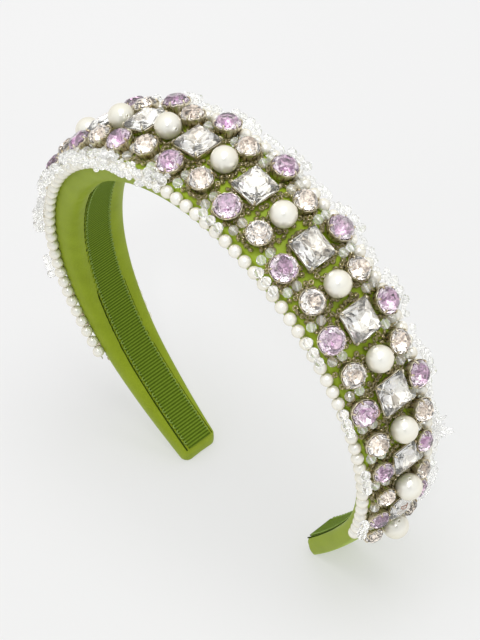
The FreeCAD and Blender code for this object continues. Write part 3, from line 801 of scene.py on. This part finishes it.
def foil_back(points, rim_height):
    """The silvered underside: the part of a stone's hull below its rim."""
    foil = hull([(x * 1.01, y * 1.01, z - 0.06) for x, y, z in points], 1)
    keep = [f for f in foil.faces if not all(foil.points[v][2] > rim_height for v in f)]
    return Shape(foil.points, keep, 1, smooth=False)


def square_crystal():
    """Square stone: small table, star and kite facets, and a pavilion of sixteen long facets."""
    half = SQUARE_SIDE / 2
    crown = clipped_square(SQUARE_TABLE / 2, 0.2, 5.0) + clipped_square(half - 0.6, 0.5, 4.05)
    crown += [(3.75 * c, 3.75 * d, 4.56) for c, d in ((1, 0), (0, 1), (-1, 0), (0, -1))]
    girdle = clipped_square(half, SQUARE_CORNER, 3.15) + clipped_square(half, SQUARE_CORNER, 2.85)
    below = circle(3.6, 4, 1.75) + circle(3.0, 8, 1.5, math.pi / 8) + [(0.0, 0.0, 0.7)]
    stone = hull(crown + girdle + below, 0)
    return stone.add(foil_back(clipped_square(half - 0.1, SQUARE_CORNER, 2.7) + below, 2.55))


def round_crystal(radius, table):
    """Brilliant cut: table, star, main and girdle facets above, and two rows of pavilion facets below."""
    step = math.pi / 9
    crown = circle(table, 9, STONE_TOP, step) + circle((table + radius) / 2 + 0.15, 9, 4.78)
    crown += circle(radius - 0.18, 18, 4.02, step / 2)
    girdle = circle(radius, 18, 3.7, step / 2) + circle(radius, 18, 3.5, step / 2)
    below = circle(radius * 0.68, 9, 2.3, step) + circle(radius * 0.36, 9, 1.55) + [(0.0, 0.0, STONE_BOTTOM)]
    stone = hull(crown + girdle + below, 0)
    return stone.add(foil_back(circle(radius * 0.97, 18, 3.4, step / 2) + below, 3.25))


def upright(line, angle):
    """A line of (distance from Z, height) points, stood at an angle about Z."""
    return [(r * math.cos(angle), r * math.sin(angle), z) for r, z in line]


def square_setting():
    """Square cup with a slot in each wall, drawn as a dark tube of painted shade, a rolled rim and a small
    claw at each corner.
    """
    levels = ((3.8, 0.0), (4.05, 0.3), (4.5, 1.15), (5.0, 2.05), (5.14, 2.35), (5.0, 2.5), (4.75, 2.25),
              (3.8, 0.7))
    points = []
    for half, z in levels:
        points += clipped_square(half, 0.55, z)
    base, floor = tuple(range(8)), tuple(range(len(points) - 1, len(points) - 9, -1))
    cup = Shape(points, grid_faces(len(levels), 8) + [base, floor], smooth=False)
    diagonal = math.sqrt(2)
    claw = [(r * diagonal, z) for r, z in ((4.65, 1.9), (4.88, 2.5), (5.02, 3.1), (4.92, 3.5), (4.6, 3.85))]
    for turn in range(4):
        cup.add(tube(upright(claw, (turn + 0.5) * math.pi / 2), [0.34, 0.36, 0.36, 0.34, 0.24], sides=7))
        c, d = math.cos(turn * math.pi / 2), math.sin(turn * math.pi / 2)
        # Each slot is a tube of the dark second finish: painted shade in the wall.
        slot = [(x * c - y * d, x * d + y * c, z) for x, y, z in
                ((4.62, -1.2, 1.35), (4.74, 0.0, 1.45), (4.62, 1.2, 1.35))]
        cup.add(tube(slot, [0.1, 0.42, 0.1], sides=6, finish=1))
    return cup


CLAWS = 6
RIM_SCALLOPS = {4: 0.1, 5: 0.28, 6: 0.34, 7: 0.28}


def scallop(level, angle):
    """How far the rim's levels rise towards each claw and each flute between the claws."""
    return RIM_SCALLOPS.get(level, 0.0) * (0.5 + 0.5 * math.cos(2 * CLAWS * angle))


def round_setting(radius):
    """Nearly straight cup with a fluted wall, a scalloped rim and claws bent over the stone's edge."""
    rim = radius + 0.12
    profile = [(0.01, 0.0), (2.95, 0.0), (3.1, 0.15), (rim - 0.3, 1.9), (rim + 0.12, 2.8), (rim + 0.22, 3.1),
               (rim + 0.1, 3.3), (rim - 0.02, 3.1), (1.9, 0.75), (0.01, 0.7)]
    cup = turned(profile, 48, wobble=scallop)
    # The flutes are thin tubes of the dark second finish: painted shade in the wall's hollows.
    flute = ((3.0, 0.3), (rim - 0.38, 1.6), (rim - 0.08, 2.5))
    for i in range(2 * CLAWS):
        cup.add(tube(upright(flute, math.pi * (i + 0.5) / CLAWS), [0.16, 0.2, 0.12], sides=6, finish=1))
    claw = ((rim - 0.1, 2.6), (rim + 0.14, 3.3), (rim + 0.06, 3.85), (rim - 0.2, 4.15), (rim - 0.55, 4.3))
    for i in range(CLAWS):
        cup.add(tube(upright(claw, 2 * math.pi * i / CLAWS), [0.24, 0.3, 0.32, 0.32, 0.24], sides=7))
    return cup


SIDE_STONE_Y = {"lilac": 9.3, "clear": 8.3}
LILAC_FRONT, LILAC_FRONT_ROOM, SQUARE_SHIFT = 11.2, 2.4, 0.6
SMALL_FROM, SMALL_SCALE, STONE_STRETCH = 110.0, 0.82, 1.13


def stone_scale(s):
    return SMALL_SCALE if abs(s) > SMALL_FROM else 1.0


def square_y(s):
    return SQUARE_SHIFT if abs(s) <= SMALL_FROM else 0.0


def side_y(s, kind, side):
    """How far from the middle a side stone sits; the lilac ones stand further out along the front edge."""
    usual = SIDE_STONE_Y[kind] * stone_scale(s)
    if kind == "clear" or side < 0 or stone_scale(s) < 1:
        return usual
    return max(usual, min(LILAC_FRONT, half_width(s) - LILAC_FRONT_ROOM))


def resized(matrix, scale):
    made = matrix.copy()
    made[:3, :3] *= scale
    return made


def square_seats():
    return [(s, resized(seat(s, square_y(s), 0.1), stone_scale(s))) for s in SQUARE_ROWS]


def side_seats(rows, kind):
    """Seats of the round stones; one that overhangs the satin's edge is lifted."""
    seats = []
    for s in rows:
        scale = stone_scale(s)
        for side in (-1, 1):
            y = side_y(s, kind, side)
            lift = 0.1 + 1.05 * max(0.0, y + 3.0 * scale - half_width(s))
            seats.append((s, resized(seat(s, side * y, lift), scale)))
    return seats


def per_segment(name, shape, seats, materials, in_frame=True):
    """One piece in each segment that has seats, riding on that segment's body."""
    for segment in SEGMENTS:
        chosen = [m for s, m in seats if segment_of(s) == segment]
        if not chosen:
            continue
        thing = make_object(f"{name}_{segment}", spread(shape, chosen), materials)
        if in_frame:
            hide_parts(f"{name}_{segment}")
        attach(thing, segment)


def tall(shape):
    """The same stone or setting, drawn out upwards."""
    shape.points = shape.points * (1.0, 1.0, STONE_STRETCH)
    return shape


def stones(finishes):
    """The square, lilac and clear stones with their settings."""
    lilac_seats, clear_seats = side_seats(SQUARE_ROWS, "lilac"), side_seats(PEARL_ROWS, "clear")
    kinds = (("square", "clear_crystal", square_crystal(), square_setting(), square_seats()),
             ("lilac", "lilac_crystal", round_crystal(4.0, 2.3), round_setting(4.0), lilac_seats),
             ("clear", "clear_crystal", round_crystal(3.6, 2.1), round_setting(3.6), clear_seats))
    for kind, slot_name, stone, setting, seats in kinds:
        glass = [finishes[kind], finishes[kind + "_foil"]]
        per_segment(f"{kind}_crystals", tall(stone), seats, glass)
        # The second finish is dark metal for the slots and flutes: painted shade.
        metal = [finishes["metal"], finishes["shadow"]]
        per_segment(f"{kind}_settings", tall(setting), seats, metal)


# ---- pearls and beads

EDGE_PEARLS, EDGE_THREAD_END, EDGE_THREAD_STEPS = 36, 156.0, 90


def edge_line(s, side):
    """Middle of a string of edge pearls; the front string (+Y) is sewn a little higher and closer."""
    out, drop = (2.0, 0.4) if side < 0 else (1.0, -1.2)
    return place(s, side * (half_width(s) + out), -edge_drop(s) - drop)


def edge_pearls(pearl, thread):
    """Both strings of pearls with their threads, each as two halves."""
    small = ball(EDGE_RADIUS, 18, 12, bore=0.35)
    for side in (-1, 1):
        first = 0 if side > 0 else 1
        matrices = []
        for edge in (-1, 1):
            for s in [side * i * EDGE_PITCH for i in range(first, EDGE_PEARLS + 1)]:
                heading = edge_line(s + 1, edge) - edge_line(s - 1, edge)
                matrices.append(aligned(edge_line(s, edge), heading, chance(0, 6)))
        add_half("edge_pearls", side, spread(small, matrices), [pearl])
        distances = [side * EDGE_THREAD_END * i / EDGE_THREAD_STEPS for i in range(EDGE_THREAD_STEPS + 1)]
        threads = Shape()
        for edge in (-1, 1):
            threads.add(tube([edge_line(s, edge) for s in distances], 0.2, sides=6))
        add_half("edge_thread", side, threads, [thread])


def large_pearls(material):
    seats = [(s, seat(s, 0, 4.3) @ SIDEWAYS) for s in PEARL_ROWS]
    per_segment("large_pearls", ball(4.1, 40, 28, bore=0.2), seats, [material])


BEAD_ROWS, BEAD_RADIUS, BEAD_PITCH, BEAD_INSET = 26, 1.5, 3.15, 1.4
SINGLE_BEAD_FROM, BEAD_LIFT, BEAD_TURN = 130.0, 1.6, 0.6
LOOP_OUT, LOOP_BEYOND_STONE, LOOP_HEIGHT = 2.15, 6.95, 3.35


def row_beads():
    """Two beads in every gap between rows, and one where the band is narrow."""
    seats = []
    for i in range(BEAD_ROWS):
        s = (i + 0.5 - BEAD_ROWS / 2) * ROW_PITCH / 2
        for side in (-1, 1):
            for step in range(2 if abs(s) < SINGLE_BEAD_FROM else 1):
                y = half_width(s) - BEAD_INSET - step * BEAD_PITCH
                m = seat(s, side * y, BEAD_LIFT, spin=chance(-BEAD_TURN, BEAD_TURN))
                seats.append((s, m @ SIDEWAYS))
    return seats


def loop_beads():
    """A loop of three beads over the pearls outside each lilac stone."""
    seats = []
    for row in range(-5, 7):
        for side in (-1, 1):
            beyond_stone = side_y(row * ROW_PITCH, "lilac", side) + LOOP_BEYOND_STONE
            for i in (-1, 0, 1):
                s = row * ROW_PITCH + i * BEAD_PITCH
                y = max(half_width(s) + LOOP_OUT, beyond_stone)
                m = seat(s, 0, spin=chance(-BEAD_TURN, BEAD_TURN))
                m[:3, 3] = place(s, side * y, LOOP_HEIGHT - edge_drop(s))
                seats.append((row * ROW_PITCH, m @ SIDEWAYS))
    return seats


def small_beads():
    """Small beads resting against the edge pearls."""
    seats = []
    for s, side, angle, size, out in small_bead_places():
        line = place(s, side * (half_width(s) + 2.0), -edge_drop(s) - 0.3)
        heading = frame_at(s)[2] * math.sin(angle) + ACROSS * side * math.cos(angle)
        m = seat(s, 0, spin=chance(0, 3)) @ SIDEWAYS
        m[:3, 3] = line + heading * (EDGE_RADIUS + size * BEAD_RADIUS + out)
        seats.append((s, resized(m, size)))
    return seats


def glass_beads(material):
    seats = row_beads() + loop_beads() + small_beads() + strand_seats()
    bead = faceted(ball(BEAD_RADIUS, 11, 7, bore=0.3))
    per_segment("glass_beads", bead, seats, [material])


# Where the small beads lie: side, first and last distance, and how many.
SMALL_BEADS = ((1, -62.0, 150.0, 270), (-1, -100.0, 4.0, 190))


def small_bead_places():
    """Small clear beads caught over the pearls: all along the front edge, and thickly at the back of the
    crown's left side. Distance, side, angle up round the pearls, size and how far each one stands off."""
    found = []
    for side, first, last, count in SMALL_BEADS:
        for i in range(count):
            s = first + (last - first) * (i + chance(0.1, 0.9)) / count
            angle = math.radians(chance(5, 118))
            near_loop = abs((s / ROW_PITCH + 0.5) % 1 - 0.5) < 0.2
            out = chance(0, 1.9 if near_loop else 0.6)
            found.append((s, side, angle, chance(0.42, 0.68), out))
    return found


# Loose strands: first and last distance, how far out and how high.
STRANDS = ((139.5, 154.0, 1.4, 2.4), (141.0, 153.0, 2.3, 4.2))
STRAND_BEAD = 0.27
SPRAY_AT, SPRAY_DROPS, DROP_SIZE = 117.5, 9, (0.28, 0.28, 1.35)


def strand_seats():
    """Two loose strands of tiny beads and a spray of drops, off the front edge near the right tip."""
    seats = []
    for first, last, out, height in STRANDS:
        count = int((last - first) / (2.6 * STRAND_BEAD))
        for i in range(count + 1):
            share = i / count
            s = first + (last - first) * share
            bow = 0.7 * math.sin(math.pi * share)
            m = seat(s, 0, spin=chance(0, 3)) @ SIDEWAYS
            m[:3, 3] = place(s, half_width(s) + out + bow, height - edge_drop(s) + bow)
            seats.append((s, resized(m, STRAND_BEAD)))
    for i in range(SPRAY_DROPS):
        s = SPRAY_AT + chance(-2.5, 2.5)
        _, tangent, normal = frame_at(s)
        heading = ACROSS * chance(0.3, 1.0) + normal * chance(0.2, 1.0)
        heading += tangent * chance(-0.9, 0.9)
        heading /= np.linalg.norm(heading)
        foot = place(s, half_width(s) + 1.6, 3.4 - edge_drop(s))
        m = aligned(foot + heading * chance(2.2, 4.6), heading)
        m[:3, :3] *= DROP_SIZE
        seats.append((s, m))
    return seats


# Thread rings: distance, y and height.
WIRE_RINGS = ((137.0, -1.2, 5.2), (95.0, -7.0, 5.2))


def wire_rings(material):
    """Thin rings of thread left loose over two of the stones."""
    seats = [(s, seat(s, y, height)) for s, y, height in WIRE_RINGS]
    angles = np.linspace(0, 2 * math.pi, 25)[:-1]
    line = [(math.cos(a), 1.25 * math.sin(a), 0.3 * math.cos(2 * a)) for a in angles]
    made = tube(line, 0.16, sides=6, closed=True)
    per_segment("wire_rings", made, seats, [material], in_frame=False)


def seed_bead():
    """Small ring of glass."""
    profile = [(0.6 + 0.37 * math.cos(a), 0.46 * math.sin(a)) for a in np.linspace(0, 2 * math.pi, 9)[:-1]]
    return turned(profile, 12, closed=True)


def footprints():
    """Where every stone and large pearl stands on the satin: distance, y and the radius to keep clear."""
    places = [(s, square_y(s), 4.9 * stone_scale(s)) for s in SQUARE_ROWS]
    places += [(s, 0.0, 2.6) for s in PEARL_ROWS]
    for rows, kind, radius in ((SQUARE_ROWS, "lilac", 3.2), (PEARL_ROWS, "clear", 3.1)):
        for s in rows:
            places += [(s, side * side_y(s, kind, side), radius * stone_scale(s)) for side in (-1, 1)]
    return places


# Rings of seeds round each foot: how far out, how high, and the share of places that hold a seed.
SEED_RINGS = ((0.95, 0.6, 1.0), (2.5, 0.5, 0.45))
SEED_STEP, SEED_ROOM, SEED_LAST, SEED_SCATTER, SEED_TIP = 1.45, 1.34, 158.0, 0.15, 1.3


def tipped(angle):
    """4 by 4 turn about X."""
    c, d = math.cos(angle), math.sin(angle)
    return np.array([[1, 0, 0, 0], [0, c, -d, 0], [0, d, c, 0], [0, 0, 0, 1.0]])


def apart_from(s, y, others):
    """Whether a place is clear of others given as (distance, y, room)."""
    return all((s - a) ** 2 + (y - b) ** 2 >= room ** 2 for a, b, room in others)


def seed_beads(material):
    """Small beads sewn round the foot of the stones and pearls, packed until the rings meet."""
    feet = footprints()
    stone_room = [(s, y, radius + 0.6) for s, y, radius in feet]
    taken, seats = [], []
    for ring_out, ring_lift, share in SEED_RINGS:
        for s0, y0, radius in feet:
            reach = radius + ring_out
            count = int(2 * math.pi * reach / SEED_STEP)
            turn = chance(0, 6.3)
            for k in range(count):
                a = turn + 2 * math.pi * k / count
                s = s0 + reach * math.cos(a) + chance(-SEED_SCATTER, SEED_SCATTER)
                y = y0 + reach * math.sin(a) + chance(-SEED_SCATTER, SEED_SCATTER)
                left_out = chance(0, 1) > share
                if left_out or abs(y) > half_width(s) - EDGE_MARGIN or abs(s) > SEED_LAST:
                    continue
                if apart_from(s, y, stone_room) and apart_from(s, y, taken):
                    taken.append((s, y, SEED_ROOM))
                    m = seat(s, y, ring_lift + chance(0, 0.35), spin=chance(0, 3))
                    seats.append((s, m @ tipped(chance(-SEED_TIP, SEED_TIP))))
    per_segment("seed_beads", seed_bead(), seats, [material])


# ---- build

satin_cover(satin_material())
foam_pad(foam_material())
# The seam thread's dark green is painted shadow along the ribbon's edges.
ribbon_lining(grosgrain_material(), picot_material(), thread_material("shadow_seam_thread", srgb(58, 78, 4)))
# The crystals' darker and paler facet colours and the foils' dark colours are painted shade and painted light
# on the facets; shadow is dark metal used as painted shade.
stones({
    "square": crystal_material("square_crystal", (1.0, 1.0, 0.975), (0.78, 0.75, 0.7), (1.0, 1.0, 1.0)),
    "square_foil": foil_material("square_foil", (1.0, 0.99, 0.97), (0.5, 0.45, 0.39)),
    "clear": crystal_material("clear_crystal", (0.97, 0.94, 0.91), (0.78, 0.71, 0.66), (1.0, 0.98, 0.96)),
    "clear_foil": foil_material("foil", (0.98, 0.94, 0.89), (0.42, 0.36, 0.3)),
    "lilac": crystal_material("lilac_crystal", (0.82, 0.69, 0.79), (0.42, 0.28, 0.42), (0.97, 0.92, 0.95)),
    "lilac_foil": foil_material("lilac_foil", (0.95, 0.88, 0.92), (0.3, 0.2, 0.28)),
    "metal": metal_material("setting_metal", srgb(222, 212, 186), srgb(242, 234, 216), srgb(176, 158, 120)),
    # Dark metal for the settings' slots and flutes: painted shade.
    "shadow": metal_material("shadow_metal", srgb(132, 118, 84), srgb(168, 152, 116), srgb(78, 64, 40)),
})
edge_pearls(pearl_material("edge_pearl", srgb(252, 250, 241), srgb(255, 254, 248)),
            thread_material("edge_thread", srgb(214, 214, 190)))
wire_rings(thread_material("loose_thread", srgb(214, 176, 160)))
large_pearls(pearl_material("large_pearl", srgb(251, 249, 236), srgb(253, 252, 244)))
# The clear beads' glint is painted glow.
glass_beads(bead_glass_material("bead_glass", (1.0, 1.0, 0.99), 0.02, 0.88, 0.0, glint=0.06))
seed_beads(bead_glass_material("seed_glass", srgb(210, 198, 158), 0.04, 0.85, 0.22, glint=0.0))
plastic = core_material()
for segment in SEGMENTS:
    core = frame["nodes"][f"spring_core_{segment}"]
    core.data.materials.clear()
    core.data.materials.append(plastic)


# ---- floor, light and camera

FLOOR_SIZE, FLOOR_SHADE, FLOOR_GLOW = 3.0, 0.4, 0.432
WORLD_STRENGTH, BACKDROP = 0.86, 0.88
AZIMUTH, ELEVATION, ROLL, DISTANCE, LENS = 54.785, 41.984, -10.254, 0.707, 130.5
TARGET = Vector((5.86, 0.03, CROWN_HEIGHT - 62.93)) * MM


def floor():
    """Pale sweep, faintly lit from within so that only soft shadows show on it."""
    mesh = bpy.data.meshes.new("floor")
    corners = [(x * FLOOR_SIZE, y * FLOOR_SIZE, 0) for x, y in ((-1, -1), (1, -1), (1, 1), (-1, 1))]
    mesh.from_pydata(corners, [], [(0, 1, 2, 3)])
    material, tree, shader = new_material("floor_paper")
    shades = [(at, (FLOOR_SHADE + change,) * 3) for at, change in ((0.3, -0.01), (0.7, 0.01))]
    set_inputs(tree, shader, Base_Color=ramp(tree, noise(tree, on_object(tree), 3.0), shades), Roughness=0.9,
               Specular_IOR_Level=0.1, Emission_Color=(1, 1, 1, 1), Emission_Strength=FLOOR_GLOW)
    mesh.materials.append(material)
    add_object("floor", mesh)


def direction(azimuth, elevation):
    """Unit vector from the object towards an azimuth and elevation in degrees."""
    a, e = math.radians(azimuth), math.radians(elevation)
    return Vector((math.sin(a) * math.cos(e), -math.cos(a) * math.cos(e), math.sin(e)))


def camera():
    """The camera, and the direction from the object towards it."""
    a, r = math.radians(AZIMUTH), math.radians(ROLL)
    back = direction(AZIMUTH, ELEVATION)
    right = Vector((math.cos(a), math.sin(a), 0))
    up = back.cross(right)
    data = bpy.data.cameras.new("camera")
    data.lens, data.clip_start, data.clip_end = LENS, 0.01, 20
    thing = add_object("camera", data)
    turned_right = right * math.cos(r) + up * math.sin(r)
    turned_up = up * math.cos(r) - right * math.sin(r)
    matrix = Matrix((turned_right, turned_up, back)).transposed().to_4x4()
    matrix.translation = TARGET + back * DISTANCE
    thing.matrix_world = matrix
    bpy.context.scene.camera = thing
    return back


def world(camera_back):
    """Even white studio with a soft dark opening round the camera; cut stones see a more broken version."""
    made = bpy.data.worlds.new("studio")
    bpy.context.scene.world = made
    made.use_nodes = True
    tree = made.node_tree
    around = node(tree, "TexCoord").outputs["Generated"]
    middle = (camera_back - Vector((0, 0, 0.12))).normalized()
    facing = wired(tree, "VectorMath", around, middle, operation="DOT_PRODUCT", output="Value")
    opening = ramp(tree, facing, [(0.95, (1, 1, 1)), (0.99, (0.18,) * 3)], "EASE")
    height = maths(tree, "MULTIPLY_ADD", apart(tree, around)[2], 0.5, 0.5)
    room = ramp(tree, height, [(0.5, (0.72,) * 3), (0.7, (0.9,) * 3), (1.0, (1, 1, 1))])
    sparkle = ramp(tree, noise(tree, around, 4.5, 1.0),
                   [(0.3, (0.2, 0.18, 0.16)), (0.36, (1.15, 1.15, 1.12)), (0.6, (2.0, 2.0, 1.96))])
    rays = node(tree, "LightPath").outputs
    lit = mixed(tree, rays["Is Transmission Ray"], mixed(tree, 1.0, room, opening, "MULTIPLY"), sparkle)
    backdrop = (*(BACKDROP / WORLD_STRENGTH,) * 3, 1)
    set_inputs(tree, tree.nodes["Background"], Color=mixed(tree, rays["Is Camera Ray"], lit, backdrop),
               Strength=WORLD_STRENGTH)


def sun(name, strength, angle, azimuth, elevation):
    data = bpy.data.lights.new(name, "SUN")
    data.energy, data.angle = strength, math.radians(angle)
    thing = add_object(name, data)
    thing.rotation_mode = "QUATERNION"
    thing.rotation_quaternion = (-direction(azimuth, elevation)).to_track_quat("-Z", "Y")


floor()
world(camera())
sun("key", 1.05, 36, 96, 78)
sun("glint", 0.22, 5, 50, 50)
bpy.context.scene.view_settings.view_transform = "Standard"
